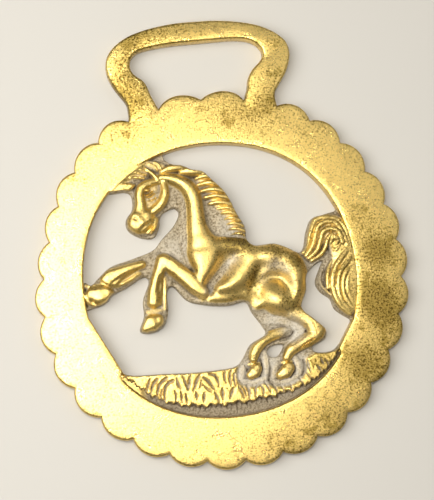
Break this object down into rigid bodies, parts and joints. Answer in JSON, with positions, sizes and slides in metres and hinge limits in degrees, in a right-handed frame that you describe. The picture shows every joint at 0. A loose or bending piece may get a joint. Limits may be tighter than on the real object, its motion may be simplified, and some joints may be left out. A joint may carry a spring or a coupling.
{
  "type": "horse brass",
  "caption": "Round scalloped harness brass with a strap hanger, pierced and cast with a prancing horse in relief on a strip of grass.",
  "frame": {"origin": "centre of the scalloped ring, on the flat back", "axes": "+Y up through the strap hanger, +Z out of the decorated face, horse facing -X"},
  "size_m": [0.0755, 0.0904, 0.005],
  "materials": {
    "cast_brass": "cast brass, worn bright on the high parts, with dark patina in the hollows"
  },
  "bodies": {
    "root": {"horse_brass": "cast_brass"}
  },
  "joints": []
}
